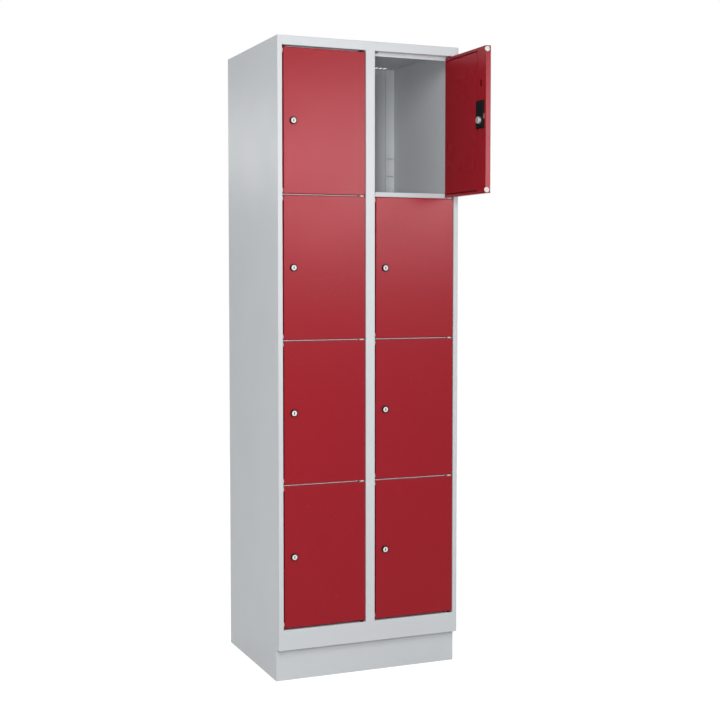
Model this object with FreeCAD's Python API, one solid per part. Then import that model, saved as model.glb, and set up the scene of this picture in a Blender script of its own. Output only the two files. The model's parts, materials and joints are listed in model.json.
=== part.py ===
import FreeCAD, Part
import math
import os

from FreeCAD import Vector

# Compartment locker of folded sheet steel, with two columns of doors on a set-back plinth.
# Millimetres. The origin is on the floor, at the middle of the flange that the kick plate stands on.
# The doors face -Y and +Z is up.
# Every door hangs on pivot pins at its right edge and locks at its left edge, its free edge.

# Overall body
body_width = 600.0
body_depth = 500.0
body_height = 1950.0
sheet = 1.0
bend_radius = 1.0

# Front frame
side_stile_width = 15.0
centre_stile_width = 30.0
top_fascia_height = 28.0
bottom_fascia_height = 63.0
stop_lip_height = 12.0
stop_lip_notch_width = 18.0
stop_lip_notch_height = 4.0
stop_lip_notch_depth = 8.0
floor_lip_height = 12.0
rear_flange_width = 18.0
seam_gap = 0.3

# Plinth
plinth_height = 100.0
plinth_setback = 28.0
plinth_return = 25.0

# Shelves and rear posts
tier_count = 4
shelf_rise = 15.0
shelf_flange_height = 31.0
shelf_return = 12.0
shelf_rear_flange = 20.0
post_width = 32.0
post_depth = 6.0
hook_slot_height = 3.5
hook_slot_margin = 2.5
hook_slot_rises = (87.0, 147.0)

# Vent slots in the roof
vent_count = 14
vent_pitch = 16.0
vent_width = 10.0
vent_length = 30.0
vent_from_back = 16.0

# Doors
door_thickness = 17.0
door_fold_radius = 2.0
door_lip = 8.0
inner_wall_margin = 12.0
inner_wall_gap = 0.5
door_gap = 4.0
edge_gap = 5.5
free_gap = 3.5
hinge_gap = 2.2
shown_door = "right_1"
shown_opening = 90.6

# Pivot hinges
pivot_from_front = 6.2
swing_clearance = 0.48
stop_clearance = 0.9
pin_diameter = 5.0
pin_reach = 8.0
pin_tail = 3.0
pin_fit = 0.05
pin_collar_diameter = 10.0
bush_diameter = 8.0
bush_reach = 3.0
bush_fit = 0.1
pad_length = 16.0
pad_width = 10.0
running_gap = 0.3
relief_width = 5.0
relief_height = 7.0

# Lock stiffener
stiffener_width = 56.0
stiffener_foot = 12.0
hanging_slot_width = 11.0
hanging_slot_height = 19.0
hanging_slot_rise = 110.0

# Buffers
buffer_diameter = 16.0
buffer_thickness = 2.2
buffer_overhang = 4.4
buffer_from_end = 10.0
buffer_stem_diameter = 5.0
buffer_stem_length = 5.0
buffer_dimple_diameter = 5.0
buffer_dimple_depth = 0.8
buffer_fit = 0.1

# Lock case and its rosette
lock_from_edge = 30.5
case_above = 56.8
case_below = 22.5
case_from_edge = 12.0
case_width = 40.0
case_corner = 2.0
case_fit = 0.2
cover_margin = 2.0
cover_thickness = 5.0
cover_corner = 4.0
cover_notch_width = 16.0
cover_notch_height = 5.0
rosette_diameter = 22.0
rosette_height = 6.0
rosette_round = 2.0
neck_diameter = 18.4
neck_fit = 0.2

# Key plug
plug_diameter = 16.0
plug_recess = 0.6
plug_fit = 0.2
key_slot_width = 2.8
key_slot_height = 8.0
key_slot_depth = 10.0
spindle_diameter = 6.0
crank_diameter = 34.0
crank_thickness = 3.0
crank_pin_diameter = 3.0
crank_pin_slack = 0.6
barrel_diameter = 21.0
barrel_overhang = 8.0
barrel_chamfer = 1.0

# Bolt
bolt_throw = 20.0
bolt_inset = 1.0
bolt_lift = 0.2
bolt_thickness = 2.5
bolt_height = 15.0
bolt_tail = 3.0
bolt_tip_round = 1.0
strike_clearance = 1.0

# Places that follow from the sizes above
half_width = body_width / 2.0
front = -plinth_setback - plinth_return / 2.0
back = front + body_depth
opening_bottom = plinth_height + bottom_fascia_height
opening_top = body_height - top_fascia_height
door_pitch = (opening_top - opening_bottom - 2.0 * edge_gap + door_gap) / tier_count
door_height = door_pitch - door_gap
opening_width = half_width - side_stile_width - centre_stile_width / 2.0
door_width = opening_width - free_gap - hinge_gap

# The pivot stands far enough from the hinge edge for the door's front corner to swing past the stile.
corner_room = hinge_gap - swing_clearance
pivot_from_edge = (pivot_from_front ** 2 - corner_room ** 2) / (2.0 * corner_room)
pivot_along_door = door_width - pivot_from_edge
rear_corner_reach = math.hypot(pivot_from_edge, door_thickness - pivot_from_front)
frame_depth = pivot_from_front + rear_corner_reach + stop_clearance
stop_plane = front + frame_depth

floor_top = opening_bottom + floor_lip_height
roof_underside = body_height - sheet
wall_inside = half_width - sheet
web_face = sheet / 2.0
back_inside = back - 2.0 * sheet
post_front = back_inside - post_depth

lock_height = door_height / 2.0
crank_radius = bolt_throw / math.sqrt(2.0)
crank_offset = bolt_throw / 2.0
crank_back = door_thickness - running_gap
crank_front = crank_back - crank_thickness

# The bolt slides over the free flange, under the lock's cover and past the spindle.
bolt_depth = (door_thickness + bolt_lift, door_thickness + bolt_lift + bolt_thickness)
bolt_bottom = lock_height + spindle_diameter / 2.0 + 2.0 * running_gap
bolt_top = bolt_bottom + bolt_height
bolt_slot_x = lock_from_edge + crank_offset
bolt_slot_radius = crank_pin_diameter / 2.0 + crank_pin_slack
bolt_tip = case_from_edge - cover_margin + bolt_inset
bolt_end = bolt_slot_x + bolt_slot_radius + bolt_tail

opening_lefts = {"left": -half_width + side_stile_width, "right": centre_stile_width / 2.0}
column_sides = {"left": (-wall_inside, -web_face), "right": (web_face, wall_inside)}
pivot_y = front + pivot_from_front


def door_free_edge(column):
    """X of a column's free door edges."""
    return opening_lefts[column] + free_gap


def pivot_x(column):
    """X of a column's hinge axis."""
    return door_free_edge(column) + pivot_along_door


def door_bottom(tier):
    """Z of the lower edge of a tier's doors; tier 1 is at the top."""
    return opening_bottom + edge_gap + (tier_count - tier) * door_pitch


def gap_middle(tier):
    """Z of the middle of the gap under a tier's doors."""
    return door_bottom(tier) - door_gap / 2.0


def shelf_top(tier):
    """Z of the surface that a tier's contents stand on."""
    if tier == tier_count:
        return floor_top
    return gap_middle(tier) + shelf_rise


# Shape helpers


def block(x_range, y_range, z_range):
    """Box between two X, two Y and two Z values."""
    sizes = [high - low for low, high in (x_range, y_range, z_range)]
    return Part.makeBox(*sizes, Vector(x_range[0], y_range[0], z_range[0]))


def rod(radius, start, end):
    """Cylinder from one point to another."""
    axis = end - start
    return Part.makeCylinder(radius, axis.Length, start, axis)


def upright_rod(radius, x, y, z_range):
    """Cylinder along Z."""
    return rod(radius, Vector(x, y, z_range[0]), Vector(x, y, z_range[1]))


def through_rod(radius, x, y_range, z):
    """Cylinder along Y."""
    return rod(radius, Vector(x, y_range[0], z), Vector(x, y_range[1], z))


def edges_at(shape, test):
    """Edges whose every vertex passes a test on its point."""
    return [edge for edge in shape.Edges if all(test(vertex.Point) for vertex in edge.Vertexes)]


def at(value, target):
    """Whether a coordinate is at a plane."""
    return abs(value - target) < 1e-6


def rounded_block(x_range, y_range, z_range, radius):
    """Box whose four edges along Y are rounded."""
    shape = block(x_range, y_range, z_range)
    along_y = [edge for edge in shape.Edges if at(edge.Vertexes[0].X, edge.Vertexes[1].X)
               and at(edge.Vertexes[0].Z, edge.Vertexes[1].Z)]
    return shape.makeFillet(radius, along_y)


def bend(before, corner, after, radius):
    """Start, middle and end of the tangent arc that rounds a corner."""
    to_before = (before - corner).normalize()
    to_after = (after - corner).normalize()
    half_angle = to_before.getAngle(to_after) / 2.0
    bisector = (to_before + to_after).normalize()
    reach = radius / math.tan(half_angle)
    middle = corner + bisector * (radius / math.sin(half_angle) - radius)
    return corner + to_before * reach, middle, corner + to_after * reach


def bent_line(points, radii):
    """Straight edges joined by tangent arcs, one radius for each inner point."""
    edges = []
    start = points[0]
    for before, corner, after, radius in zip(points, points[1:], points[2:], radii):
        first, middle, last = bend(before, corner, after, radius)
        edges.append(Part.LineSegment(start, first).toShape())
        edges.append(Part.Arc(first, middle, last).toShape())
        start = last
    edges.append(Part.LineSegment(start, points[-1]).toShape())
    return edges


def folded_sheet(skin, run):
    """Sheet folded along a line of points on its outer skin and drawn out along a run.

    Seen with the run coming at the eye, the sheet lies on the left of the line.
    """
    normal = Vector(run).normalize()
    headings = [(after - before).normalize() for before, after in zip(skin, skin[1:])]
    lefts = [normal.cross(heading) for heading in headings]
    inner = [skin[0] + lefts[0] * sheet]
    skin_radii = []
    inner_radii = []
    for index, corner in enumerate(skin[1:-1]):
        mitre = (lefts[index] + lefts[index + 1]) * (1.0 / (1.0 + lefts[index].dot(lefts[index + 1])))
        inner.append(corner + mitre * sheet)
        turns_left = headings[index].cross(headings[index + 1]).dot(normal) > 0
        skin_radii.append(bend_radius + sheet if turns_left else bend_radius)
        inner_radii.append(bend_radius if turns_left else bend_radius + sheet)
    inner.append(skin[-1] + lefts[-1] * sheet)
    edges = bent_line(skin, skin_radii)
    edges.append(Part.LineSegment(skin[-1], inner[-1]).toShape())
    edges += bent_line(inner[::-1], inner_radii[::-1])
    edges.append(Part.LineSegment(inner[0], skin[0]).toShape())
    return Part.Face(Part.Wire(edges)).extrude(run)


def plan_fold(points, z_range):
    """Folded sheet with its section in plan, drawn out along Z."""
    skin = [Vector(x, y, z_range[0]) for x, y in points]
    return folded_sheet(skin, Vector(0, 0, z_range[1] - z_range[0]))


def side_fold(points, x_range):
    """Folded sheet with its section seen from the side, drawn out along X."""
    skin = [Vector(x_range[0], y, z) for y, z in points]
    return folded_sheet(skin, Vector(x_range[1] - x_range[0], 0, 0))


def mirrored(shape):
    """Mirror image of a shape from left to right."""
    return shape.mirror(Vector(0, 0, 0), Vector(1, 0, 0))


# Carcass


def strike_holes(stile_side):
    """Cutters for the bolt holes in a stile's side, one for each tier."""
    depth = (front + bolt_depth[0] - strike_clearance, front + bolt_depth[1] + strike_clearance)
    across = (stile_side - 2.0 * sheet, stile_side + 2.0 * sheet)
    low, high = bolt_bottom - strike_clearance, bolt_top + strike_clearance
    bottoms = [door_bottom(tier) for tier in range(1, tier_count + 1)]
    return [block(across, depth, (bottom + low, bottom + high)) for bottom in bottoms]


def plain_side_wall():
    """Left side wall with its box stile, rear flange and the notch over the kick plate."""
    outline = [
        (-half_width + rear_flange_width, back),
        (-half_width, back),
        (-half_width, front),
        (-half_width + side_stile_width, front),
        (-half_width + side_stile_width, stop_plane),
        (-wall_inside + seam_gap, stop_plane),
    ]
    wall = plan_fold(outline, (0.0, roof_underside))
    toe_notch = block(
        (-half_width - sheet, -half_width + side_stile_width + sheet),
        (front - sheet, front + plinth_setback),
        (-sheet, plinth_height),
    )
    return wall.cut(toe_notch)


def centre_partition():
    """Single web with a box stile along its front edge, cut back at the floor panel's and the roof's folds."""
    half_stile = centre_stile_width / 2.0
    height = (opening_bottom, opening_top)
    outer = block((-half_stile, half_stile), (front, stop_plane), height)
    inner = block((-half_stile + sheet, half_stile - sheet), (front + sheet, stop_plane - sheet), height)
    corners = [
        shape.makeFillet(radius, [edge for edge in shape.Edges if edge.BoundBox.ZLength > door_height])
        for shape, radius in ((outer, bend_radius + sheet), (inner, bend_radius))
    ]
    stile = corners[0].cut(corners[1])
    web = block((-web_face, web_face), (stop_plane - sheet / 2.0, back_inside), (floor_top, opening_top))
    web_head = block((-web_face, web_face), (stop_plane, back_inside), (opening_top, roof_underside))
    fold_depth = (stop_plane - bend_radius, stop_plane)
    fold_heights = [(opening_bottom, opening_bottom + bend_radius), (opening_top - bend_radius, opening_top)]
    fold_reliefs = [block((-half_stile, half_stile), fold_depth, fold_height) for fold_height in fold_heights]
    return stile.fuse([web, web_head]).removeSplitter().cut(strike_holes(half_stile) + fold_reliefs)


def back_panel():
    """Flat sheet on the rear flanges, clear of the side walls' folds."""
    half_panel = wall_inside - bend_radius
    depth = (back_inside, back_inside + sheet)
    return block((-half_panel, half_panel), depth, (plinth_height, roof_underside))


def vent_slots(column):
    """Cutters for a row of round-ended vent slots in the roof over a column."""
    middle = sum(column_sides[column]) / 2.0
    rear = back - vent_from_back
    first = middle - (vent_count - 1) * vent_pitch / 2.0
    return [
        rounded_slot(first + index * vent_pitch, (rear - vent_length, rear))
        for index in range(vent_count)
    ]


def rounded_slot(x, y_range):
    """Cutter for one vent slot, with half-round ends."""
    height = (roof_underside - sheet, body_height + sheet)
    radius = vent_width / 2.0
    ends = (y_range[0] + radius, y_range[1] - radius)
    middle = block((x - radius, x + radius), ends, height)
    return middle.fuse([upright_rod(radius, x, y, height) for y in ends])


def roof():
    """Lid with the top fascia, the return for the top pins and the stop lip, relieved beside the stiles."""
    stile_side = half_width - side_stile_width
    outline = [
        (back, body_height),
        (front, body_height),
        (front, opening_top),
        (stop_plane, opening_top),
        (stop_plane, opening_top - stop_lip_height),
    ]
    folded = side_fold(outline, (-stile_side, stile_side))
    lid = block((-half_width, half_width), (front + bend_radius + sheet, back), (roof_underside, body_height))
    corners = [
        block(sorted((side * stile_side, side * half_width)), (front, back), (roof_underside, body_height))
        for side in (-1, 1)
    ]
    notch_depth = (stop_plane - stop_lip_notch_depth, stop_plane + 2.0 * sheet)
    notch_height = (opening_top - stop_lip_notch_height, opening_top + bend_radius + sheet)
    centre_side = centre_stile_width / 2.0
    notch_spans = [
        (-stile_side, -stile_side + stop_lip_notch_width),
        (-centre_side - stop_lip_notch_width, -centre_side),
        (centre_side, centre_side + stop_lip_notch_width),
        (stile_side - stop_lip_notch_width, stile_side),
    ]
    notches = [block(span, notch_depth, notch_height) for span in notch_spans]
    half_slit = web_face + seam_gap
    notches.append(block(
        (-half_slit, half_slit),
        (stop_plane - bend_radius, stop_plane + 2.0 * sheet),
        (opening_top - stop_lip_height - sheet, opening_top + bend_radius + sheet),
    ))
    holes = [pin_hole(column, (opening_top - sheet, opening_top + 2.0 * sheet)) for column in opening_lefts]
    vents = [slot for column in opening_lefts for slot in vent_slots(column)]
    return folded.fuse([lid] + corners).removeSplitter().cut(notches + holes + vents)


def pin_hole(column, z_range):
    """Cutter for a hinge pin's hole."""
    return upright_rod(pin_diameter / 2.0 + pin_fit, pivot_x(column), pivot_y, z_range)


def floor_panel():
    """Floor with the bottom fascia, its returns and the lip that the floor stands up on."""
    stile_side = half_width - side_stile_width
    outline = [
        (back_inside, floor_top),
        (stop_plane, floor_top),
        (stop_plane, opening_bottom),
        (front, opening_bottom),
        (front, plinth_height),
        (front + plinth_setback + plinth_return, plinth_height),
    ]
    folded = side_fold(outline, (-stile_side, stile_side))
    floor_depth = (stop_plane + bend_radius + sheet, back_inside)
    floor = block((-wall_inside, wall_inside), floor_depth, (floor_top - sheet, floor_top))
    hole_height = (opening_bottom - 2.0 * sheet, opening_bottom + sheet)
    holes = [pin_hole(column, hole_height) for column in opening_lefts]
    return folded.fuse(floor).removeSplitter().cut(holes)


def plinth():
    """Kick plate and rear rail, each a channel with its flanges turned inwards."""
    half_rail = wall_inside - bend_radius
    kick_face = front + plinth_setback
    rail_face = back - sheet
    kick_plate = side_fold([
        (kick_face + plinth_return, plinth_height),
        (kick_face, plinth_height),
        (kick_face, 0.0),
        (kick_face + plinth_return, 0.0),
    ], (-wall_inside, wall_inside))
    rear_rail = side_fold([
        (rail_face - plinth_return, 0.0),
        (rail_face, 0.0),
        (rail_face, plinth_height),
        (rail_face - plinth_return, plinth_height),
    ], (-half_rail, half_rail))
    return [kick_plate, rear_rail]


def shelf(column, tier):
    """Shelf under a tier, with a hinge tab that reaches into the gap between two doors."""
    top = shelf_top(tier)
    x_range = column_sides[column]
    outline = [
        (back_inside, top - shelf_rear_flange),
        (back_inside, top),
        (stop_plane, top),
        (stop_plane, top - shelf_flange_height),
        (stop_plane + shelf_return, top - shelf_flange_height),
    ]
    folded = side_fold(outline, x_range)
    post_depth_range = (post_front, back)
    post_height = (top - shelf_rear_flange - sheet, top + sheet)
    post_notches = [
        block((x_range[0] - sheet, x_range[0] + post_width), post_depth_range, post_height),
        block((x_range[1] - post_width, x_range[1] + sheet), post_depth_range, post_height),
    ]
    axis_x = pivot_x(column)
    middle = gap_middle(tier)
    tab_height = (middle - sheet / 2.0, middle + sheet / 2.0)
    half_tab = pad_width / 2.0
    tab = block((axis_x - half_tab, axis_x + half_tab), (pivot_y, stop_plane + sheet / 2.0), tab_height)
    tab_end = upright_rod(half_tab, axis_x, pivot_y, tab_height)
    relief_depth = (stop_plane - sheet, stop_plane + 2.0 * sheet)
    relief_span = (middle - relief_height / 2.0, middle + relief_height / 2.0)
    reliefs = [
        block((axis_x - half_tab - relief_width, axis_x - half_tab), relief_depth, relief_span),
        block((axis_x + half_tab, axis_x + half_tab + relief_width), relief_depth, relief_span),
    ]
    cuts = post_notches + reliefs + [pin_hole(column, (middle - sheet, middle + sheet))]
    return folded.fuse([tab, tab_end]).removeSplitter().cut(cuts)


def rear_posts():
    """Angle posts in the rear corners of both columns, with hook slots in every tier."""
    inner_side = wall_inside - post_width
    outline = [(inner_side, back_inside), (inner_side, post_front), (wall_inside, post_front)]
    wall_post = plan_fold(outline, (floor_top, roof_underside))
    slots = []
    for tier in range(1, tier_count + 1):
        for rise in hook_slot_rises:
            middle = shelf_top(tier) + rise
            slots.append(block(
                (inner_side + hook_slot_margin, wall_inside - hook_slot_margin),
                (post_front - sheet, post_front + 2.0 * sheet),
                (middle - hook_slot_height / 2.0, middle + hook_slot_height / 2.0),
            ))
    wall_post = wall_post.cut(slots)
    web_post = mirrored(wall_post)
    web_post.translate(Vector(wall_inside + web_face, 0, 0))
    return [wall_post, web_post, mirrored(wall_post), mirrored(web_post)]


def end_pin(column, seat, door_edge):
    """Pin at an end of a column: a tail in the return, a collar on it and a shoulder in the door's flange."""
    direction = 1.0 if door_edge > seat else -1.0
    axis_x = pivot_x(column)
    tail_end = seat - direction * (sheet + pin_tail)
    collar_end = door_edge - direction * running_gap
    shoulder_end = door_edge + direction * (sheet + bush_reach)
    tail = upright_rod(pin_diameter / 2.0, axis_x, pivot_y, sorted((tail_end, seat)))
    collar = upright_rod(pin_collar_diameter / 2.0, axis_x, pivot_y, sorted((seat, collar_end)))
    shoulder = upright_rod(bush_diameter / 2.0, axis_x, pivot_y, sorted((collar_end, shoulder_end)))
    return tail.fuse([collar, shoulder]).removeSplitter()


def hinge_pins():
    """One pin through each hinge tab and one through the return at each end of a column."""
    pins = []
    radius = pin_diameter / 2.0
    reach = door_gap / 2.0 + pin_reach
    for column in opening_lefts:
        pins.append(end_pin(column, opening_bottom, opening_bottom + edge_gap))
        for tier in range(1, tier_count):
            span = (gap_middle(tier) - reach, gap_middle(tier) + reach)
            pins.append(upright_rod(radius, pivot_x(column), pivot_y, span))
        pins.append(end_pin(column, opening_top, opening_top - edge_gap))
    return pins


def bush(column, seat, door_edge):
    """Nylon bush that stands on a seat and reaches through a door's flange at its edge."""
    direction = 1.0 if door_edge > seat else -1.0
    pad_end = door_edge - direction * running_gap
    sleeve_end = door_edge + direction * (sheet + bush_reach)
    axis_x = pivot_x(column)
    pad_height = sorted((seat, pad_end))
    half_pad = pad_width / 2.0
    flat = pad_length / 2.0 - half_pad
    pad = block((axis_x - flat, axis_x + flat), (pivot_y - half_pad, pivot_y + half_pad), pad_height)
    ends = [upright_rod(half_pad, axis_x + side * flat, pivot_y, pad_height) for side in (-1, 1)]
    sleeve = upright_rod(bush_diameter / 2.0, axis_x, pivot_y, sorted((seat, sleeve_end)))
    bore = upright_rod(pin_diameter / 2.0 + pin_fit, axis_x, pivot_y, sorted((seat, sleeve_end)))
    return pad.fuse(ends + [sleeve]).removeSplitter().cut(bore)


def hinge_bushes():
    """Two bushes on every hinge tab, one for the door above it and one for the door below."""
    bushes = []
    for column in opening_lefts:
        for tier in range(1, tier_count):
            middle = gap_middle(tier)
            bushes.append(bush(column, middle + sheet / 2.0, middle + door_gap / 2.0))
            bushes.append(bush(column, middle - sheet / 2.0, middle - door_gap / 2.0))
    return bushes


# Door pieces, in a door's own frame: X from the free edge, Y from the front face, Z from the lower edge


def door_panel():
    """Pan with flanges and lips, its inner wall folded back from the hinge flange, and its holes."""
    outer = block((0, door_width), (0, door_thickness), (0, door_height))
    outer = outer.makeFillet(door_fold_radius, edges_at(outer, lambda point: at(point.y, 0)))
    inside = (sheet, door_width - sheet), (sheet, door_thickness + sheet), (sheet, door_height - sheet)
    inner = block(*inside)
    inner = inner.makeFillet(door_fold_radius - sheet, edges_at(inner, lambda point: at(point.y, sheet)))
    lip_depth = (door_thickness - sheet, door_thickness)
    lips = [
        block((stiffener_width, door_width), lip_depth, (0, door_lip)),
        block((stiffener_width, door_width), lip_depth, (door_height - door_lip, door_height)),
    ]
    inner_wall = block(
        (stiffener_width + inner_wall_gap, door_width),
        lip_depth,
        (inner_wall_margin, door_height - inner_wall_margin),
    )
    pivot_hole = upright_rod(
        bush_diameter / 2.0 + bush_fit, pivot_along_door, pivot_from_front, (-sheet, door_height + sheet)
    )
    lock_hole = through_rod(
        neck_diameter / 2.0 + neck_fit, lock_from_edge, (-sheet, 2.0 * sheet), lock_height
    )
    stem_radius = buffer_stem_diameter / 2.0 + buffer_fit
    stem_holes = [
        rod(stem_radius, point - Vector(sheet, 0, 0), point + Vector(2.0 * sheet, 0, 0))
        for point in buffer_places()
    ]
    pan = outer.cut(inner).fuse(lips + [inner_wall]).removeSplitter()
    return pan.cut([pivot_hole, lock_hole] + stem_holes)


def door_stiffener():
    """Hat-shaped strip along the free edge, with the lock case's window and a slot to hang it by."""
    outline = [
        (stiffener_width + stiffener_foot, 2.0 * sheet),
        (stiffener_width, 2.0 * sheet),
        (stiffener_width, door_thickness),
        (sheet, door_thickness),
    ]
    end_room = max(door_fold_radius, sheet)
    strip = plan_fold(outline, (end_room, door_height - end_room))
    cut_depth = (door_thickness - 2.0 * sheet, door_thickness + sheet)
    window = block(
        (case_from_edge - case_fit, case_from_edge + case_width + case_fit),
        cut_depth,
        (lock_height - case_below - case_fit, lock_height + case_above + case_fit),
    )
    slot_middle = lock_height + hanging_slot_rise
    hanging_slot = block(
        (lock_from_edge - hanging_slot_width / 2.0, lock_from_edge + hanging_slot_width / 2.0),
        cut_depth,
        (slot_middle - hanging_slot_height / 2.0, slot_middle + hanging_slot_height / 2.0),
    )
    return strip.cut([window, hanging_slot])


def buffer_places():
    """Middle of each buffer on the outside of the free flange."""
    depth = door_thickness + buffer_overhang - buffer_diameter / 2.0
    return [Vector(0, depth, height) for height in (buffer_from_end, door_height - buffer_from_end)]


def door_buffers():
    """Two buttons with dimpled heads, their stems pushed through the free flange."""
    buttons = []
    for place in buffer_places():
        face = place - Vector(buffer_thickness, 0, 0)
        head = rod(buffer_diameter / 2.0, face, place)
        rim = edges_at(head, lambda point: at(point.x, face.x))
        head = head.makeFillet(buffer_thickness / 2.0, rim)
        stem = rod(buffer_stem_diameter / 2.0, place, place + Vector(buffer_stem_length, 0, 0))
        dimple = rod(buffer_dimple_diameter / 2.0, face, face + Vector(buffer_dimple_depth, 0, 0))
        buttons.append(head.fuse(stem).removeSplitter().cut(dimple))
    return buttons


def lock_rosette():
    """Round outer collar whose neck passes the door sheet."""
    collar = through_rod(rosette_diameter / 2.0, lock_from_edge, (-rosette_height, 0), lock_height)
    collar = collar.makeFillet(rosette_round, edges_at(collar, lambda point: at(point.y, -rosette_height)))
    neck = through_rod(neck_diameter / 2.0, lock_from_edge, (0, sheet), lock_height)
    bore = through_rod(plug_diameter / 2.0 + plug_fit, lock_from_edge, (-rosette_height, sheet), lock_height)
    return collar.fuse(neck).removeSplitter().cut(bore)


def lock_body():
    """Inner case body with the bore for the plug and the pocket for its crank."""
    height = (lock_height - case_below, lock_height + case_above)
    width = (case_from_edge, case_from_edge + case_width)
    body = rounded_block(width, (sheet, door_thickness), height, case_corner)
    pocket_floor = crank_front - running_gap
    bore = through_rod(plug_diameter / 2.0 + plug_fit, lock_from_edge, (sheet, pocket_floor), lock_height)
    pocket = through_rod(crank_diameter / 2.0 + running_gap, lock_from_edge,
                         (pocket_floor, door_thickness), lock_height)
    return body.cut([bore, pocket])


def lock_cover():
    """Cover that seats on the stiffener, with the bolt's channel and a notch between two feet."""
    width = (case_from_edge - cover_margin, case_from_edge + case_width + cover_margin)
    height = (lock_height - case_below - cover_margin, lock_height + case_above + cover_margin)
    outer_face = door_thickness + cover_thickness
    cover = rounded_block(width, (door_thickness, outer_face), height, cover_corner)
    cover = cover.makeFillet(sheet, edges_at(cover, lambda point: at(point.y, outer_face)))
    bore = through_rod(barrel_diameter / 2.0 + running_gap, lock_from_edge,
                       (door_thickness, outer_face), lock_height)
    channel = block(
        (width[0] - sheet, bolt_end + running_gap),
        (door_thickness, bolt_depth[1] + running_gap),
        (bolt_bottom - running_gap, bolt_top + running_gap),
    )
    middle = sum(width) / 2.0
    notch = block(
        (middle - cover_notch_width / 2.0, middle + cover_notch_width / 2.0),
        (door_thickness, outer_face),
        (height[0], height[0] + cover_notch_height),
    )
    return cover.cut([bore, channel, notch])


def lock_plug():
    """Key plug with the crank that drives the bolt, its spindle, and the barrel behind the cover."""
    face = -rosette_height + plug_recess
    barrel_start = bolt_depth[1] + 2.0 * running_gap
    barrel_end = door_thickness + cover_thickness + barrel_overhang
    head = through_rod(plug_diameter / 2.0, lock_from_edge, (face, crank_front), lock_height)
    crank = through_rod(crank_diameter / 2.0, lock_from_edge, (crank_front, crank_back), lock_height)
    spindle = through_rod(spindle_diameter / 2.0, lock_from_edge, (crank_back, barrel_start), lock_height)
    barrel = through_rod(barrel_diameter / 2.0, lock_from_edge, (barrel_start, barrel_end), lock_height)
    barrel = barrel.makeChamfer(barrel_chamfer, edges_at(barrel, lambda point: at(point.y, barrel_end)))
    crank_pin = through_rod(crank_pin_diameter / 2.0, bolt_slot_x,
                            (crank_back, bolt_depth[1] - running_gap), lock_height + crank_offset)
    key_slot = block(
        (lock_from_edge - key_slot_width / 2.0, lock_from_edge + key_slot_width / 2.0),
        (face, face + key_slot_depth),
        (lock_height - key_slot_height / 2.0, lock_height + key_slot_height / 2.0),
    )
    return head.fuse([crank, spindle, barrel, crank_pin]).removeSplitter().cut(key_slot)


def lock_bolt():
    """Flat bolt, drawn back into the cover, with a rounded tip and the slot for the crank pin."""
    bar = block((bolt_tip, bolt_end), bolt_depth, (bolt_bottom, bolt_top))
    tip = [edge for edge in edges_at(bar, lambda point: at(point.x, bolt_tip))
           if edge.BoundBox.YLength > sheet]
    bar = bar.makeFillet(bolt_tip_round, tip)
    slot_ends = [lock_height + crank_offset, lock_height + crank_radius]
    slot = block((bolt_slot_x - bolt_slot_radius, bolt_slot_x + bolt_slot_radius), bolt_depth, slot_ends)
    slot = slot.fuse([through_rod(bolt_slot_radius, bolt_slot_x, bolt_depth, height) for height in slot_ends])
    return bar.cut(slot)


def hung(shape, column, tier):
    """A door piece at its place in the locker, swung open with the door that is shown open."""
    placed = shape.copy()
    placed.translate(Vector(door_free_edge(column), front, door_bottom(tier)))
    if f"{column}_{tier}" == shown_door:
        placed.rotate(Vector(pivot_x(column), pivot_y, 0), Vector(0, 0, 1), shown_opening)
    return placed


def carcass_nodes():
    """Solids of each carcass node."""
    tiers_with_shelf = range(1, tier_count)
    wall = plain_side_wall()
    nodes = {
        "left_side_wall": [wall.cut(strike_holes(-half_width + side_stile_width))],
        "right_side_wall": [mirrored(wall)],
        "centre_partition": [centre_partition()],
        "back_panel": [back_panel()],
        "roof": [roof()],
        "floor_panel": [floor_panel()],
        "plinth": plinth(),
        "rear_posts": rear_posts(),
        "hinge_pins": hinge_pins(),
        "hinge_bushes": hinge_bushes(),
    }
    for column in opening_lefts:
        nodes[f"{column}_shelves"] = [shelf(column, tier) for tier in tiers_with_shelf]
    return nodes


def door_nodes():
    """Solids of each door and lock node."""
    pieces = {
        "door_{}_panel": [door_panel()],
        "door_{}_stiffener": [door_stiffener()],
        "door_{}_buffers": door_buffers(),
        "lock_{}_case": [lock_rosette(), lock_body(), lock_cover()],
        "lock_{}_plug": [lock_plug()],
        "lock_{}_bolt": [lock_bolt()],
    }
    nodes = {}
    for column in opening_lefts:
        for tier in range(1, tier_count + 1):
            for name, solids in pieces.items():
                nodes[name.format(f"{column}_{tier}")] = [hung(solid, column, tier) for solid in solids]
    return nodes


def main():
    """Write one file for each node."""
    os.makedirs("parts", exist_ok=True)
    for name, solids in {**carcass_nodes(), **door_nodes()}.items():
        shape = solids[0] if len(solids) == 1 else Part.makeCompound(solids)
        shape.exportStep(f"parts/{name}.step")


main()
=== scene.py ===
"""Looks of a compartment locker: powder-coated sheet steel with plated locks and moulded pieces.

The construction comes in as a fixed frame. This script gives every node its finish, adds the small
fasteners, weld marks and hemmed shelf edges that the construction leaves out, and sets the locker in a
plain white studio. Metres, +Z up, doors towards -Y.
"""

import json
import logging
import math
from dataclasses import dataclass
from enum import Enum
from typing import Any

import bpy
from mathutils import Euler, Matrix, Vector


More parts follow.
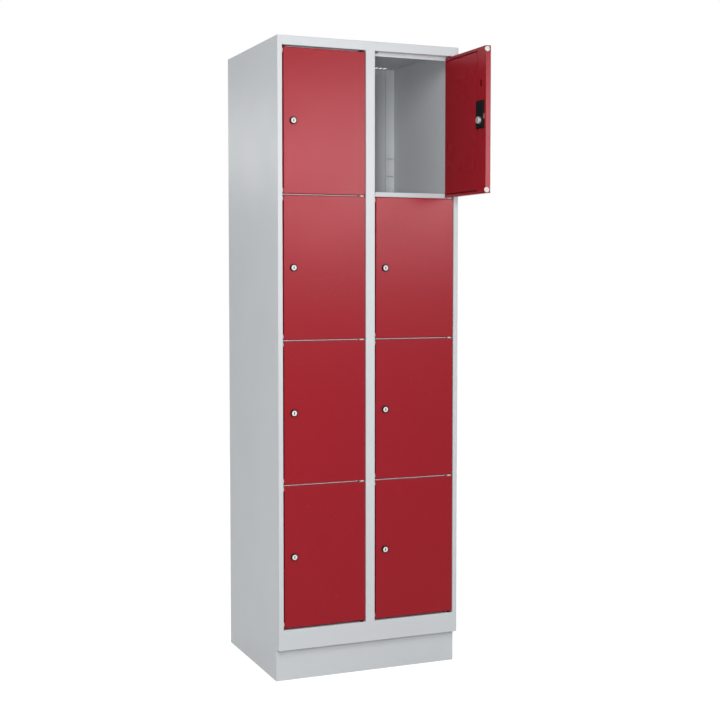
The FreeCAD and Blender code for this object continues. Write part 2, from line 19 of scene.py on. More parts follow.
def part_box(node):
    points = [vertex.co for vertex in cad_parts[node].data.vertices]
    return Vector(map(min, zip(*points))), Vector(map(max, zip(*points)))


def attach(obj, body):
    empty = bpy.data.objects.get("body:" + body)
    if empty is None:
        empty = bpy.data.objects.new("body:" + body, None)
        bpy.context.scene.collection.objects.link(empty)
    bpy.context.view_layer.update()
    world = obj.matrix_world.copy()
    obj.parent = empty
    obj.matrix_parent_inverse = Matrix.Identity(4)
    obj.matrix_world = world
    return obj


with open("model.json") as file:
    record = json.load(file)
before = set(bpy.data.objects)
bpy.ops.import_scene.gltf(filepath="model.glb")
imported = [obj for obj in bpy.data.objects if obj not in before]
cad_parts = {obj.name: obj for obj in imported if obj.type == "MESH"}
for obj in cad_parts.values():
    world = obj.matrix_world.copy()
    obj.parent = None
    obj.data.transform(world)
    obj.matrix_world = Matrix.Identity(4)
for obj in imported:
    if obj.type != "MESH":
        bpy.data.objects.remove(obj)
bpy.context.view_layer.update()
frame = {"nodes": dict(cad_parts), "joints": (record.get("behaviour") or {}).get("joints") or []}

log = logging.getLogger("locker")

MM = 0.001
QUARTER_TURN = math.pi / 2.0
COLUMNS = ("left", "right")
TIERS = (1, 2, 3, 4)
WHITE = "#FFFFFF"

# Folded stiles at the front of the carcass: the width of a side stile, and half the centre one's width.
SIDE_STILE = 15.0 * MM
HALF_CENTRE_STILE = 15.0 * MM

# Layers of noise: a plain pattern, and one with finer grain in it.
PLAIN = 1.0
GRAINY = 2.0
# A wave texture multiplies a place by this before it takes the sine.
WAVE_FACTOR = 20.0


class Slot(Enum):
    """Material slots of the record that the added pieces belong to. Nothing in this script gives a piece
    one of them.
    """

    CARCASS_PAINT = "carcass_paint"
    PIN_STEEL = "pin_steel"


class ToolMark(Enum):
    """Direction of the fine marks that machining leaves on a metal."""

    TURNED = "rings about the lock axis"
    DRAWN = "streaks along the bar"


def linear(colour: str) -> tuple[float, float, float, float]:
    """Turn an sRGB hex colour into linear light.

    Args:
        colour: Colour as #RRGGBB.

    Returns:
        Red, green, blue and an alpha of 1.
    """
    channels = [int(colour[start:start + 2], 16) / 255.0 for start in (1, 3, 5)]
    lights = [c / 12.92 if c <= 0.04045 else ((c + 0.055) / 1.055) ** 2.4 for c in channels]
    return (*lights, 1.0)


def add_node(
    tree: bpy.types.NodeTree, kind: str, inputs: dict[Any, Any], **settings: Any
) -> bpy.types.Node:
    """Add a shader node with its settings, values and links.

    Args:
        tree: Node tree that takes the node.
        kind: Blender's identifier of the node.
        inputs: For each input, by name or number, a value or the output socket to link.
        **settings: Attributes to set on the node.

    Returns:
        The new node.
    """
    node = tree.nodes.new(kind)
    for name, value in settings.items():
        setattr(node, name, value)
    for name, value in inputs.items():
        if isinstance(value, bpy.types.NodeSocket):
            tree.links.new(value, node.inputs[name])
        else:
            node.inputs[name].default_value = value
    return node


def empty_material(name: str) -> bpy.types.Material:
    """Make a material with an empty node tree.

    Args:
        name: Name of the material.

    Returns:
        The material, with no nodes.
    """
    material = bpy.data.materials.new(name)
    material.use_nodes = True
    material.node_tree.nodes.clear()
    return material


@dataclass(frozen=True)
class PowderCoat:
    """Polyester powder sprayed on steel sheet and baked to an even satin skin.

    The melted grains leave a faint orange peel that softens reflections, and the film's shade and gloss
    drift slowly over a panel.
    """

    name: str
    colour: str
    thin_colour: str
    reflection: str
    roughness: float
    gloss: float
    # Real orange peel is 1 to 2 mm across. The long swell is drawn wider, so that it shows at a few
    # millimetres a pixel.
    peel_width: float = 1.6 * MM
    peel_depth: float = 0.004 * MM
    swell_width: float = 22.0 * MM
    swell_depth: float = 0.008 * MM
    drift_width: float = 160.0 * MM
    gloss_drift: float = 0.04

    def material(self) -> bpy.types.Material:
        """Make the material of this finish.

        Returns:
            The material, with its patterns in the locker's own axes.
        """
        material = empty_material(self.name)
        tree = material.node_tree
        place = add_node(tree, "ShaderNodeTexCoord", {}).outputs["Object"]
        peel = add_node(tree, "ShaderNodeTexNoise", {
            "Vector": place, "Scale": 1.0 / self.peel_width, "Detail": PLAIN,
        })
        swell = add_node(tree, "ShaderNodeTexNoise", {
            "Vector": place, "Scale": 1.0 / self.swell_width, "Detail": PLAIN,
        })
        drift = add_node(tree, "ShaderNodeTexNoise", {
            "Vector": place, "Scale": 1.0 / self.drift_width, "Detail": GRAINY,
        })
        colour = add_node(tree, "ShaderNodeValToRGB", {"Fac": drift.outputs["Fac"]})
        colour.color_ramp.elements[0].color = linear(self.colour)
        colour.color_ramp.elements[1].color = linear(self.thin_colour)
        roughness = add_node(tree, "ShaderNodeMapRange", {
            "Value": drift.outputs["Fac"],
            "To Min": self.roughness - self.gloss_drift,
            "To Max": self.roughness + self.gloss_drift,
        })
        waves = add_node(tree, "ShaderNodeBump", {
            "Height": swell.outputs["Fac"], "Distance": self.swell_depth,
        })
        skin = add_node(tree, "ShaderNodeBump", {
            "Height": peel.outputs["Fac"], "Distance": self.peel_depth, "Normal": waves.outputs["Normal"],
        })
        paint = add_node(tree, "ShaderNodeBsdfPrincipled", {
            "Base Color": colour.outputs["Color"],
            "Roughness": roughness.outputs["Result"],
            "Specular IOR Level": self.gloss,
            "Specular Tint": linear(self.reflection),
            "Normal": skin.outputs["Normal"],
        })
        add_node(tree, "ShaderNodeOutputMaterial", {"Surface": paint.outputs["BSDF"]})
        return material


@dataclass(frozen=True)
class MouldedPlastic:
    """Injection-moulded plastic whose mould was spark-eroded, which leaves a fine dull grain."""

    name: str
    colour: str
    grain_colour: str
    roughness: float
    gloss: float
    glow: float
    glow_depth: float = 1.0 * MM
    # Spark-eroded grain is 0.1 to 0.3 mm. It is drawn coarser, so that it shows close up.
    grain_width: float = 0.7 * MM
    grain_depth: float = 0.02 * MM

    def material(self) -> bpy.types.Material:
        """Make the material of this finish.

        Returns:
            The material, with its grain in the locker's own axes.
        """
        material = empty_material(self.name)
        tree = material.node_tree
        place = add_node(tree, "ShaderNodeTexCoord", {}).outputs["Object"]
        grain = add_node(tree, "ShaderNodeTexNoise", {
            "Vector": place, "Scale": 1.0 / self.grain_width, "Detail": GRAINY,
        })
        colour = add_node(tree, "ShaderNodeValToRGB", {"Fac": grain.outputs["Fac"]})
        colour.color_ramp.elements[0].color = linear(self.colour)
        colour.color_ramp.elements[1].color = linear(self.grain_colour)
        skin = add_node(tree, "ShaderNodeBump", {
            "Height": grain.outputs["Fac"], "Distance": self.grain_depth,
        })
        plastic = add_node(tree, "ShaderNodeBsdfPrincipled", {
            "Base Color": colour.outputs["Color"],
            "Roughness": self.roughness,
            "Subsurface Weight": self.glow,
            "Subsurface Scale": self.glow_depth,
            "Specular IOR Level": self.gloss,
            "Normal": skin.outputs["Normal"],
        })
        add_node(tree, "ShaderNodeOutputMaterial", {"Surface": plastic.outputs["BSDF"]})
        return material


@dataclass(frozen=True)
class PlatedMetal:
    """Plated or blackened metal with the fine marks of turning or drawing under its skin.

    A keyway is given by half its width, depth and height about the lock axis, from the door's front face,
    and its inside gets painted shade.
    """

    name: str
    colour: str
    worn_colour: str
    roughness: float
    mark: ToolMark
    # Tool marks are near 0.1 mm apart. They are drawn wider, so that they show close up.
    mark_pitch: float = 0.5 * MM
    mark_depth: float = 0.006 * MM
    ring_wander: float = 0.4
    streak_stretch: float = 14.0
    keyway: tuple[float, float, float] | None = None
    # Dark colour painted inside the keyway: painted shade, not the colour of the metal.
    keyway_shade_colour: str = "#17171A"

    def tool_marks(self, tree: bpy.types.NodeTree, place: bpy.types.NodeSocket) -> bpy.types.NodeSocket:
        """Draw the rings of a turned piece or the streaks of a drawn one.

        Args:
            tree: Node tree that takes the nodes.
            place: Place in the piece's own axes.

        Returns:
            A socket with the height of the marks.
        """
        if self.mark is ToolMark.TURNED:
            rings = add_node(tree, "ShaderNodeTexWave", {
                "Vector": place,
                "Scale": 1.0 / (self.mark_pitch * WAVE_FACTOR),
                "Distortion": self.ring_wander,
                "Detail": PLAIN,
            }, wave_type="RINGS", rings_direction="Y")
            return rings.outputs["Fac"]
        along = add_node(tree, "ShaderNodeMapping", {
            "Vector": place, "Scale": (1.0 / self.streak_stretch, 1.0, 1.0),
        })
        streaks = add_node(tree, "ShaderNodeTexNoise", {
            "Vector": along.outputs["Vector"], "Scale": 1.0 / self.mark_pitch, "Detail": GRAINY,
        })
        return streaks.outputs["Fac"]

    def keyway_shade_mask(self, tree: bpy.types.NodeTree, place: bpy.types.NodeSocket) -> bpy.types.NodeSocket:
        """Mark the inside of the keyway, which is painted dark as painted shade of the deep slot.

        Args:
            tree: Node tree that takes the nodes.
            place: Place in the piece's own axes.

        Returns:
            A socket that is 1 inside the keyway.
        """
        axes = add_node(tree, "ShaderNodeSeparateXYZ", {"Vector": place})
        across, along, upright = [
            add_node(tree, "ShaderNodeMath", {
                0: axes.outputs[axis], 1: 0.0, 2: half_size,
            }, operation="COMPARE").outputs["Value"]
            for axis, half_size in zip("XYZ", self.keyway)
        ]
        level = add_node(tree, "ShaderNodeMath", {0: across, 1: along}, operation="MINIMUM")
        inside = add_node(tree, "ShaderNodeMath", {
            0: level.outputs["Value"], 1: upright,
        }, operation="MINIMUM")
        return inside.outputs["Value"]

    def material(self, place_on: Matrix) -> bpy.types.Material:
        """Make the material of this finish for one piece.

        Args:
            place_on: Place of the piece's own axes. Y is the lock axis and X runs along the bar.

        Returns:
            The material, with its marks centred on the piece.
        """
        material = empty_material(self.name)
        tree = material.node_tree
        into_piece = place_on.inverted()
        coordinate = add_node(tree, "ShaderNodeTexCoord", {})
        place = add_node(tree, "ShaderNodeMapping", {
            "Vector": coordinate.outputs["Object"],
            "Location": into_piece.translation,
            "Rotation": into_piece.to_euler(),
        }).outputs["Vector"]
        marks = self.tool_marks(tree, place)
        colour = add_node(tree, "ShaderNodeValToRGB", {"Fac": marks})
        colour.color_ramp.elements[0].color = linear(self.worn_colour)
        colour.color_ramp.elements[1].color = linear(self.colour)
        shade = colour.outputs["Color"]
        # Painted shade: the inside of the keyway is painted dark, because the deep slot falls in shade.
        if self.keyway:
            shade = add_node(tree, "ShaderNodeMixRGB", {
                "Fac": self.keyway_shade_mask(tree, place),
                "Color1": shade,
                "Color2": linear(self.keyway_shade_colour),
            }).outputs["Color"]
        skin = add_node(tree, "ShaderNodeBump", {"Height": marks, "Distance": self.mark_depth})
        metal = add_node(tree, "ShaderNodeBsdfPrincipled", {
            "Base Color": shade,
            "Metallic": 1.0,
            "Roughness": self.roughness,
            "Normal": skin.outputs["Normal"],
        })
        add_node(tree, "ShaderNodeOutputMaterial", {"Surface": metal.outputs["BSDF"]})
        return material


# Light grey and ruby red are usual locker shades of powder coat. Both are an even satin, and the red is
# a little glossier and tints what it reflects.
GREY_COAT = PowderCoat(
    "light_grey_powder_coat", "#BFC2C5", "#BBBEC1", WHITE, roughness=0.33, gloss=0.15,
)
RED_COAT = PowderCoat(
    "ruby_red_powder_coat", "#8C1822", "#881620", "#FFD0D6", roughness=0.26, gloss=0.17,
)
# Nylon comes from the mould a waxy white, and light sinks into it at thin edges.
NYLON = MouldedPlastic(
    "white_moulded_nylon", "#BFC0BE", "#C9CAC8", roughness=0.45, gloss=0.25, glow=0.15,
)
# Black ABS with a spark-eroded grain is dull, with hardly any sheen.
BLACK_ABS = MouldedPlastic(
    "black_moulded_abs", "#0C0D0E", "#131415", roughness=0.65, gloss=0.10, glow=0.0,
)
# Nickel over turned zinc is a soft silver with faint rings, and the keyway cut into it is painted dark as
# painted shade of the deep slot.
NICKEL = PlatedMetal(
    "nickel_plated_turned_zinc", "#DCDCDA", "#C6C6C4", roughness=0.52, mark=ToolMark.TURNED,
    keyway=(1.45 * MM, 10.0 * MM, 4.05 * MM),
)
# Zinc on drawn steel is a cool bluish grey with streaks along the bar.
ZINC = PlatedMetal(
    "zinc_plated_drawn_steel", "#B9BCC0", "#9DA1A6", roughness=0.38, mark=ToolMark.DRAWN,
)
# Blackened drawn steel is nearly black, with a dull sheen along its streaks.
BLACKENED = PlatedMetal(
    "blackened_drawn_steel", "#2B2B2D", "#1C1C1E", roughness=0.5, mark=ToolMark.DRAWN,
)


def find_joint(name: str) -> dict[str, Any]:
    """Find a joint of the frame by its name."""
    return next(joint for joint in frame["joints"] if joint["name"] == name)


def dress(node: str, material: bpy.types.Material) -> None:
    """Give a node of the frame its finish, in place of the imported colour.

    Args:
        node: Name of the node.
        material: Finish of the node.
    """
    slots = frame["nodes"][node].data.materials
    slots.clear()
    slots.append(material)


def select_only(piece: bpy.types.Object) -> None:
    """Make a piece the only selected object and the active one.

    Args:
        piece: Piece to select.
    """
    bpy.ops.object.select_all(action="DESELECT")
    piece.select_set(True)
    bpy.context.view_layer.objects.active = piece


def apply_place(piece: bpy.types.Object) -> None:
    """Move a piece's place, turn and scale into its mesh."""
    select_only(piece)
    bpy.ops.object.transform_apply(location=True, rotation=True, scale=True)


def apply_modifier(piece: bpy.types.Object, kind: str, **settings: Any) -> None:
    """Add a modifier to a piece and apply it.

    Args:
        piece: Piece to change.
        kind: Blender's identifier of the modifier.
        **settings: Attributes to set on the modifier.
    """
    select_only(piece)
    bpy.ops.object.modifier_add(type=kind)
    modifier = piece.modifiers[-1]
    for name, value in settings.items():
        setattr(modifier, name, value)
    bpy.ops.object.modifier_apply(modifier=modifier.name)


def join(pieces: list[bpy.types.Object]) -> bpy.types.Object:
    """Join pieces into one.

    Args:
        pieces: Pieces to join.

    Returns:
        The first piece, which now holds them all.
    """
    select_only(pieces[0])
    for piece in pieces:
        piece.select_set(True)
    bpy.ops.object.join()
    return pieces[0]


def draw_out(piece: bpy.types.Object, steps: list[tuple[Vector, Vector]]) -> None:
    """Extrude a flat face several times, resizing its end each time.

    Args:
        piece: Piece of one face, with its place in its mesh.
        steps: For each step, the shift of the end and its scale about the piece's middle.
    """
    middle = sum((Vector(corner) for corner in piece.bound_box), Vector()) / len(piece.bound_box)
    select_only(piece)
    bpy.ops.object.mode_set(mode="EDIT")
    bpy.ops.mesh.select_all(action="SELECT")
    for shift, scale in steps:
        bpy.ops.mesh.extrude_region_move(TRANSFORM_OT_translate={"value": shift})
        bpy.ops.transform.resize(value=scale, center_override=middle)
    bpy.ops.mesh.select_all(action="SELECT")
    bpy.ops.mesh.normals_make_consistent(inside=False)
    bpy.ops.object.mode_set(mode="OBJECT")


def round_step(depth: float, share: float) -> tuple[Vector, Vector]:
    """Give one step of a round piece along Y, by its depth and by the share of its width that is left."""
    return Vector((0.0, depth, 0.0)), Vector((share, 1.0, share))


def hand_over(
    piece: bpy.types.Object, name: str, body: str, material: bpy.types.Material
) -> None:
    """Name a finished piece, give it its finish and let it ride on its body.

    Args:
        piece: Finished piece, with its place in its mesh.
        name: Name of the piece.
        body: Body of the frame that carries it.
        material: Finish of the piece.
    """
    piece.name = name
    piece.data.name = name
    piece.data.materials.append(material)
    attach(piece, body)
    log.info("piece %s on %s", name, body)


@dataclass
class StileWelds:
    """Welds that fill the grooves where the fascias meet the stiles, ground flush with the front."""

    top_opening: float = 1922.0 * MM
    bottom_opening: float = 163.0 * MM
    plinth_top: float = 100.0 * MM
    fold: float = 2.0 * MM
    root_share: float = 0.1

    def strip(
        self, x_range: tuple[float, float], z_range: tuple[float, float], root: Vector
    ) -> bpy.types.Object:
        """Make one wedge-shaped filling behind the front plane.

        Args:
            x_range: Ends across the front.
            z_range: Lower and upper end.
            root: Scale of the weld's root, compared with its face.

        Returns:
            The filling.
        """
        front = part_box("left_side_wall")[0][1]
        middle = (sum(x_range) / 2.0, front, sum(z_range) / 2.0)
        bpy.ops.mesh.primitive_plane_add(size=1.0, location=middle, rotation=(QUARTER_TURN, 0.0, 0.0))
        filling = bpy.context.object
        filling.scale = (x_range[1] - x_range[0], z_range[1] - z_range[0], 1.0)
        apply_place(filling)
        draw_out(filling, [(Vector((0.0, self.fold, 0.0)), root)])
        return filling

    def build(self, paint: bpy.types.Material) -> None:
        """Fill the grooves beside both fascias and at the ends of the centre stile.

        Args:
            paint: Finish of the fillings.
        """
        half_width, _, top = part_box("roof")[1]
        groove = (half_width - SIDE_STILE, half_width - SIDE_STILE + self.fold)
        fascias = (
            (self.top_opening + self.fold, top - self.fold),
            (self.plinth_top + self.fold, self.bottom_opening - self.fold),
        )
        upright_root = Vector((self.root_share, 1.0, 1.0))
        fillings = []
        for height in fascias:
            fillings.append(self.strip(groove, height, upright_root))
            fillings.append(self.strip((-groove[1], -groove[0]), height, upright_root))
        flat = HALF_CENTRE_STILE - self.fold
        stile_ends = (
            (self.top_opening, self.top_opening + self.fold),
            (self.bottom_opening - self.fold, self.bottom_opening),
        )
        level_root = Vector((1.0, 1.0, self.root_share))
        for height in stile_ends:
            fillings.append(self.strip((-flat, flat), height, level_root))
        hand_over(join(fillings), "stile_welds", "carcass", paint)


@dataclass
class SpotWelds:
    """Electrode marks along the rear flanges, where they are welded to the back panel."""

    from_side: float = 9.5 * MM
    lowest: float = 130.0 * MM
    pitch: float = 88.0 * MM
    count: int = 21
    diameter: float = 6.5 * MM
    corners: int = 24
    rim: float = 0.2 * MM
    rim_share: float = 0.86
    dish: float = 0.15 * MM
    dish_share: float = 0.75
    smooth_angle: float = math.radians(40.0)

    def build(self, paint: bpy.types.Material) -> None:
        """Make one dished mark, repeat it up a flange and mirror the row.

        Args:
            paint: Finish of the marks.
        """
        half_width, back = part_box("right_side_wall")[1][:2]
        bpy.ops.mesh.primitive_circle_add(
            vertices=self.corners, radius=self.diameter / 2.0, fill_type="NGON",
            location=(half_width - self.from_side, back, self.lowest), rotation=(-QUARTER_TURN, 0.0, 0.0),
        )
        marks = bpy.context.object
        apply_place(marks)
        draw_out(marks, [
            round_step(self.rim, self.rim_share),
            round_step(0.0, self.rim_share),
            round_step(-self.dish, self.dish_share),
        ])
        apply_modifier(
            marks, "ARRAY", count=self.count, use_relative_offset=False, use_constant_offset=True,
            constant_offset_displace=(0.0, 0.0, self.pitch),
        )
        apply_modifier(marks, "MIRROR")
        bpy.ops.object.shade_smooth_by_angle(angle=self.smooth_angle)
        hand_over(marks, "rear_spot_welds", "carcass", paint)


@dataclass
class CoverScrews:
    """Two cross-recessed screws that hold a lock's cover on its body."""

    head_radius: float = 2.8 * MM
    corners: int = 28
    rim: float = 0.6 * MM
    crown: float = 0.9 * MM
    # Share of the crown's height that each step of the dome climbs, and the share of its width that
    # is left.
    dome: tuple[tuple[float, float], ...] = ((0.55, 0.86), (0.30, 0.74), (0.15, 0.50))
    sunk: float = 0.2 * MM
    recess_width: float = 0.8 * MM
    recess_length: float = 3.2 * MM
    recess_depth: float = 1.0 * MM
    cover_face: float = 22.0 * MM
    from_axis: float = 1.5 * MM
    rises: tuple[float, float] = (28.0 * MM, 50.0 * MM)
    smooth_angle: float = math.radians(35.0)

    def head(self) -> bpy.types.Object:
        """Make one domed head whose outer side is towards +Y.

        Returns:
            The head, with the face under it at the origin.
        """
        bpy.ops.mesh.primitive_circle_add(
            vertices=self.corners, radius=self.head_radius, fill_type="NGON",
            rotation=(-QUARTER_TURN, 0.0, 0.0),
        )
        head = bpy.context.object
        apply_place(head)
        crown = [round_step(climb * self.crown, share) for climb, share in self.dome]
        draw_out(head, [round_step(self.rim, 1.0), *crown])
        for turn in (0.0, QUARTER_TURN):
            bpy.ops.mesh.primitive_cube_add(
                size=1.0, location=(0.0, self.rim + self.crown, 0.0), rotation=(0.0, turn, 0.0),
            )
            blade = bpy.context.object
            blade.scale = (self.recess_width, 2.0 * self.recess_depth, self.recess_length)
            apply_place(blade)
            apply_modifier(head, "BOOLEAN", operation="DIFFERENCE", object=blade)
            select_only(blade)
            bpy.ops.object.delete()
        return head

    def build(self, label: str, place: Matrix, metal: bpy.types.Material) -> None:
        """Drive both screws into one lock's cover.

        Args:
            label: Column and tier of the door.
            place: The lock's axes.
            metal: Finish of the screws.
        """
        heads = []
        for rise in self.rises:
            head = self.head()
            seat = Vector((self.from_axis, self.cover_face - self.sunk, rise))
            head.matrix_world = place @ Matrix.Translation(seat)
            apply_place(head)
            heads.append(head)
        screws = join(heads)
        bpy.ops.object.shade_smooth_by_angle(angle=self.smooth_angle)
        hand_over(screws, f"lock_{label}_screws", f"door_{label}", metal)


@dataclass
class ShelfNoses:
    """Hemmed front edges of the shelves, which reach forward into the gaps between the doors."""

    thickness: float = 2.4 * MM
    # Both setbacks run from the front of the doors: to the rounded edge, and to the shelf's flange.
    setback: float = 3.4 * MM
    flange_setback: float = 22.0 * MM
    hinge_clearance: float = 14.0 * MM
    # How far each step of the rounded hem reaches, and the share of its thickness that is left.
    hem: tuple[tuple[float, float], ...] = ((0.4 * MM, 0.92), (0.4 * MM, 0.65), (0.2 * MM, 0.42))
    smooth_angle: float = math.radians(40.0)

    def nose(self, x_range: tuple[float, float], height: float) -> bpy.types.Object:
        """Make the hemmed edge of one shelf.

        Args:
            x_range: Ends across the opening.
            height: Middle of the gap between two doors.

        Returns:
            The edge, from the shelf's front flange to its rounded front.
        """
        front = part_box("left_side_wall")[0][1]
        seat = (sum(x_range) / 2.0, front + self.flange_setback, height)
        bpy.ops.mesh.primitive_plane_add(size=1.0, location=seat, rotation=(QUARTER_TURN, 0.0, 0.0))
        nose = bpy.context.object
        nose.scale = (x_range[1] - x_range[0], self.thickness, 1.0)
        apply_place(nose)
        straight = self.flange_setback - self.setback - sum(reach for reach, _ in self.hem)
        draw_out(nose, [
            (Vector((0.0, -reach, 0.0)), Vector((1.0, 1.0, share)))
            for reach, share in ((straight, 1.0), *self.hem)
        ])
        return nose

    def build(self, paint: bpy.types.Material) -> None:
        """Set an edge in every gap between two doors.

        Args:
            paint: Finish of the edges.
        """
        half_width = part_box("roof")[1][0]
        starts = (SIDE_STILE - half_width, HALF_CENTRE_STILE)
        noses = []
        for column, start in zip(COLUMNS, starts):
            for tier in TIERS[:-1]:
                hinge = find_joint(f"door_{column}_{tier}_swing")["pos_m"][0]
                upper_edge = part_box(f"door_{column}_{tier}_panel")[0][2]
                lower_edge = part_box(f"door_{column}_{tier + 1}_panel")[1][2]
                gap = (upper_edge + lower_edge) / 2.0
                noses.append(self.nose((start, hinge - self.hinge_clearance), gap))
        hemmed = join(noses)
        bpy.ops.object.shade_smooth_by_angle(angle=self.smooth_angle)
        hand_over(hemmed, "shelf_noses", "carcass", paint)


@dataclass
class Carcass:
    """Welded body of folded sheets, with the hinge pins and bushes that it carries."""

    painted: tuple[str, ...] = (
        "left_side_wall", "right_side_wall", "centre_partition", "back_panel", "roof", "floor_panel",
        "plinth", "left_shelves", "right_shelves", "rear_posts",
    )

    def dress(self) -> None:
        """Paint the sheets, finish the hinge pieces and add the welds and hemmed edges."""
        paint = GREY_COAT.material()
        for node in self.painted:
            dress(node, paint)
        StileWelds().build(paint)
        SpotWelds().build(paint)
        ShelfNoses().build(paint)
        dress("hinge_bushes", NYLON.material())
        dress("hinge_pins", BLACKENED.material(Matrix.Rotation(QUARTER_TURN, 4, "Y")))


@dataclass
class Door:
    """Pan door with its stiffener, buffers and lock."""

    label: str

    def lock_place(self) -> Matrix:
        """Work out the lock's axes from its plug's joint.

        Returns:
            Place on the door's front face, with X towards the hinge, Y into the locker and Z up.
        """
        joint = find_joint(f"plug_{self.label}_turn")
        inwards = -Vector(joint["axis"]).normalized()
        up = Vector((0.0, 0.0, 1.0))
        along = inwards.cross(up)
        turn = Matrix((along, inwards, up)).transposed().to_4x4()
        return Matrix.Translation(Vector(joint["pos_m"])) @ turn

    def dress(
        self, paint: bpy.types.Material, nylon: bpy.types.Material, plastic: bpy.types.Material
    ) -> None:
        """Finish the door's and the lock's nodes.

        Args:
            paint: Finish of the sheets.
            nylon: Finish of the buffers.
            plastic: Finish of the lock case.
        """
        place = self.lock_place()
        dress(f"door_{self.label}_panel", paint)
        dress(f"door_{self.label}_stiffener", paint)
        dress(f"door_{self.label}_buffers", nylon)
        dress(f"lock_{self.label}_case", plastic)
        dress(f"lock_{self.label}_plug", NICKEL.material(place))
        dress(f"lock_{self.label}_bolt", ZINC.material(place))
        CoverScrews().build(self.label, place, BLACKENED.material(place))


@dataclass(frozen=True)
class Softbox:
    """Rectangular studio lamp with an even white front."""

    name: str
    place: tuple[float, float, float]
    target: tuple[float, float, float]
    width: float
    height: float
    radiance: float
    gloss_only: bool = False

    def add(self) -> bpy.types.Object:
        """Add the lamp, turned to its target.

        Returns:
            The lamp's object.
        """
        bpy.ops.object.light_add(type="AREA", location=self.place)
        lamp = bpy.context.object
        lamp.name = self.name
        aim = Vector(self.target) - Vector(self.place)
        lamp.rotation_euler = aim.to_track_quat("-Z", "Y").to_euler()
        lamp.data.shape = "RECTANGLE"
        lamp.data.size = self.width
        lamp.data.size_y = self.height
        lamp.data.energy = self.radiance * math.pi * self.width * self.height
        lamp.visible_camera = False
        lamp.visible_diffuse = not self.gloss_only
        return lamp


def flag_off(lamp: bpy.types.Object, pieces: list[bpy.types.Object]) -> None:
    """Keep a lamp's glare off some pieces, as a flag on a stand does.

    Args:
        lamp: Lamp behind the flag.
        pieces: Pieces that stay in its shade.
    """
    shaded = bpy.data.collections.new(f"{lamp.name}_flagged")
    for piece in pieces:
        shaded.objects.link(piece)
    for member in shaded.collection_objects:
        member.light_linking.link_state = "EXCLUDE"
    lamp.light_linking.receiver_collection = shaded


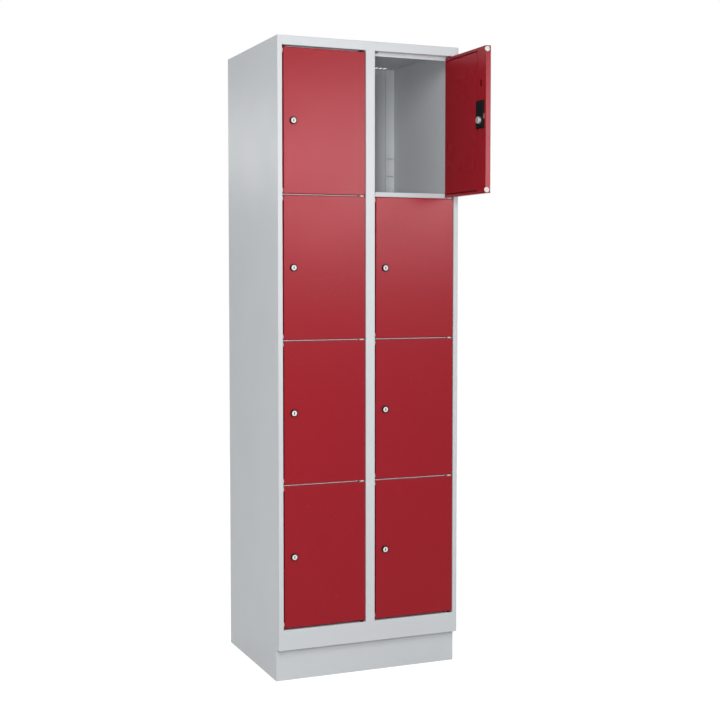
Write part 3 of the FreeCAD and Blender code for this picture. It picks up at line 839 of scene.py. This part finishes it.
@dataclass
class Studio:
    """White room with a pale floor, soft lamps and the camera."""

    floor_size: float = 80.0
    floor_colour: str = "#E4E4E2"
    shadow_share: float = 0.30
    glow_share: float = 0.86
    room_light: float = 0.53
    room_colour: str = "#FCFEFF"
    # The camera looks down a little, and its small shift keeps the upright edges nearly parallel.
    camera_place: tuple[float, float, float] = (-1.5898, -3.7569, 1.2393)
    camera_turn: float = 0.3962
    camera_tilt: float = math.radians(3.07)
    camera_sensor: float = 36.0
    camera_lens: float = 65.714
    camera_shift: tuple[float, float] = (0.0, -0.0200)
    # Two boxes at the front left light the locker and one behind it fills the back. The strips only give
    # the paint its sheen, and are flagged off the locks and the right wall.
    lamps: tuple[Softbox, ...] = (
        Softbox("high_softbox", (-1.33, -2.85, 2.55), (0.0, 0.0, 1.4), 0.42, 1.30, 28.0),
        Softbox("low_softbox", (-1.33, -2.85, 1.35), (0.0, 0.0, 1.3), 0.42, 0.36, 84.0),
        Softbox("rear_softbox", (2.2, 3.6, 2.2), (0.0, 0.2, 1.0), 1.5, 1.5, 11.0),
        Softbox("front_strip", (1.71, -3.84, 1.92), (0.0, 0.0, 1.62), 2.0, 0.90, 18.0, gloss_only=True),
        Softbox("rear_strip", (-1.7, 4.2, 2.06), (-0.3, 0.2, 1.6), 1.6, 0.5, 2.0, gloss_only=True),
    )

    def seen_directly(self, tree: bpy.types.NodeTree) -> bpy.types.NodeSocket:
        """Tell rays from the camera, or from gloss and glass, apart from those that light the object.

        Args:
            tree: Node tree that takes the nodes.

        Returns:
            A socket that is 1 on such rays.
        """
        path = add_node(tree, "ShaderNodeLightPath", {})
        gloss = add_node(tree, "ShaderNodeMath", {
            0: path.outputs["Is Camera Ray"], 1: path.outputs["Is Glossy Ray"],
        }, operation="MAXIMUM")
        either = add_node(tree, "ShaderNodeMath", {
            0: gloss.outputs["Value"], 1: path.outputs["Is Transmission Ray"],
        }, operation="MAXIMUM")
        return either.outputs["Value"]

    def build_room(self) -> None:
        """Light the room evenly and show it white."""
        world = bpy.data.worlds.new("white_room")
        bpy.context.scene.world = world
        world.use_nodes = True
        tree = world.node_tree
        tree.nodes.clear()
        light = add_node(tree, "ShaderNodeBackground", {
            "Color": linear(self.room_colour), "Strength": self.room_light,
        })
        white = add_node(tree, "ShaderNodeBackground", {"Color": linear(WHITE), "Strength": 1.0})
        mix = add_node(tree, "ShaderNodeMixShader", {
            0: self.seen_directly(tree), 1: light.outputs["Background"], 2: white.outputs["Background"],
        })
        add_node(tree, "ShaderNodeOutputWorld", {"Surface": mix.outputs["Shader"]})

    def build_floor(self) -> None:
        """Lay a pale floor that shows white and keeps a soft shadow."""
        bpy.ops.mesh.primitive_plane_add(size=self.floor_size)
        floor = bpy.context.object
        floor.name = "studio_floor"
        material = empty_material("pale_studio_floor")
        tree = material.node_tree
        pale = add_node(tree, "ShaderNodeBsdfDiffuse", {"Color": linear(self.floor_colour)})
        shaded = add_node(tree, "ShaderNodeBsdfDiffuse", {"Color": (*[self.shadow_share] * 3, 1.0)})
        glow = add_node(tree, "ShaderNodeEmission", {"Strength": self.glow_share})
        shown = add_node(tree, "ShaderNodeAddShader", {
            0: shaded.outputs["BSDF"], 1: glow.outputs["Emission"],
        })
        mix = add_node(tree, "ShaderNodeMixShader", {
            0: self.seen_directly(tree), 1: pale.outputs["BSDF"], 2: shown.outputs["Shader"],
        })
        add_node(tree, "ShaderNodeOutputMaterial", {"Surface": mix.outputs["Shader"]})
        floor.data.materials.append(material)

    def light(self) -> None:
        """Set up the lamps and flag the strips off the pieces that they would wash out."""
        washed_out = [
            piece for node, piece in frame["nodes"].items()
            if node.startswith("lock_") or node == "right_side_wall"
        ]
        for softbox in self.lamps:
            lamp = softbox.add()
            if softbox.gloss_only:
                flag_off(lamp, washed_out)
            log.info("lamp %s", softbox.name)

    def place_camera(self) -> None:
        """Set the camera where the photograph was taken from."""
        turn = Euler((QUARTER_TURN - self.camera_tilt, 0.0, -self.camera_turn))
        bpy.ops.object.camera_add(location=self.camera_place, rotation=turn)
        camera = bpy.context.object
        camera.data.sensor_width = self.camera_sensor
        camera.data.lens = self.camera_lens
        camera.data.shift_x, camera.data.shift_y = self.camera_shift
        bpy.context.scene.camera = camera

    def build(self) -> None:
        """Build the room, the lamps and the camera."""
        self.build_room()
        self.build_floor()
        self.light()
        self.place_camera()
        bpy.context.scene.view_settings.view_transform = "Standard"


def main() -> None:
    """Build the studio and dress the locker."""
    logging.basicConfig(level=logging.INFO, format="%(name)s: %(message)s")
    bpy.ops.object.select_all(action="DESELECT")
    Studio().build()
    Carcass().dress()
    log.info("carcass")
    paint = RED_COAT.material()
    nylon = NYLON.material()
    plastic = BLACK_ABS.material()
    for column in COLUMNS:
        for tier in TIERS:
            door = Door(f"{column}_{tier}")
            door.dress(paint, nylon, plastic)
            log.info("door %s", door.label)


if __name__ == "__main__":
    main()
